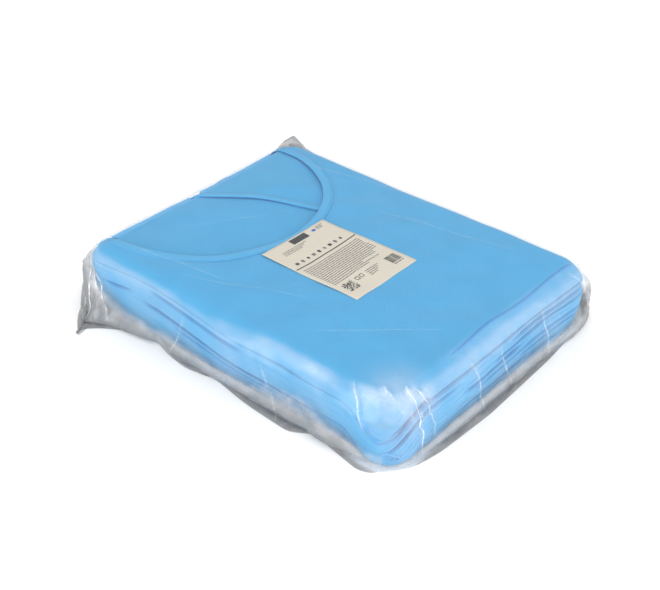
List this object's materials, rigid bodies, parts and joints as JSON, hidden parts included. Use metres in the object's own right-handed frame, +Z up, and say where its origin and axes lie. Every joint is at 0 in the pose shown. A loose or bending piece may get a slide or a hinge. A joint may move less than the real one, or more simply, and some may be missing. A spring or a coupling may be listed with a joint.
{
  "type": "bagged stack of folded disposable lab coats",
  "caption": "Clear film bag holding a flat stack of folded light blue disposable lab coats, the top one neckline up, with a paper label under the film.",
  "frame": {"origin": "middle of the bag's outline, on the surface that it lies on", "axes": "+Z up; +X along the folded coats' length, from the necklines to the folded edges; +Y across the stack, to the wearer's left of the top coat"},
  "size_m": [0.354, 0.3278, 0.0614],
  "materials": {
    "cloth": "matte",
    "binding": "matte",
    "cuff": "matte",
    "tie": "matte",
    "film": "gloss",
    "paper": "matte"
  },
  "bodies": {
    "root": {"bag_upper_film": "film", "bag_lower_film": "film", "paper_label": "paper", "coat_01_front_panel": "cloth", "coat_01_neck_binding": "binding", "coat_01_left_back_panel": "cloth", "coat_01_right_back_panel": "cloth", "coat_01_back_edge_binding": "binding", "coat_01_left_sleeve": "cloth", "coat_01_right_sleeve": "cloth", "coat_01_left_cuff": "cuff", "coat_01_right_cuff": "cuff", "coat_01_left_neck_tie": "tie", "coat_01_right_neck_tie": "tie", "coat_01_waist_tie": "tie", "coat_02_body": "cloth", "coat_02_left_sleeve": "cloth", "coat_02_right_sleeve": "cloth", "coat_02_waist_tie": "tie", "coat_03_body": "cloth", "coat_03_left_sleeve": "cloth", "coat_03_right_sleeve": "cloth", "coat_03_waist_tie": "tie", "coat_04_body": "cloth", "coat_04_left_sleeve": "cloth", "coat_04_right_sleeve": "cloth", "coat_04_waist_tie": "tie", "coat_05_body": "cloth", "coat_05_left_sleeve": "cloth", "coat_05_right_sleeve": "cloth", "coat_05_waist_tie": "tie", "coat_06_body": "cloth", "coat_06_left_sleeve": "cloth", "coat_06_right_sleeve": "cloth", "coat_06_waist_tie": "tie", "coat_07_body": "cloth", "coat_07_left_sleeve": "cloth", "coat_07_right_sleeve": "cloth", "coat_07_waist_tie": "tie", "coat_08_body": "cloth", "coat_08_left_sleeve": "cloth", "coat_08_right_sleeve": "cloth", "coat_08_waist_tie": "tie", "coat_09_body": "cloth", "coat_09_left_sleeve": "cloth", "coat_09_right_sleeve": "cloth", "coat_09_waist_tie": "tie", "coat_10_body": "cloth", "coat_10_left_sleeve": "cloth", "coat_10_right_sleeve": "cloth", "coat_10_waist_tie": "tie"}
  },
  "joints": []
}
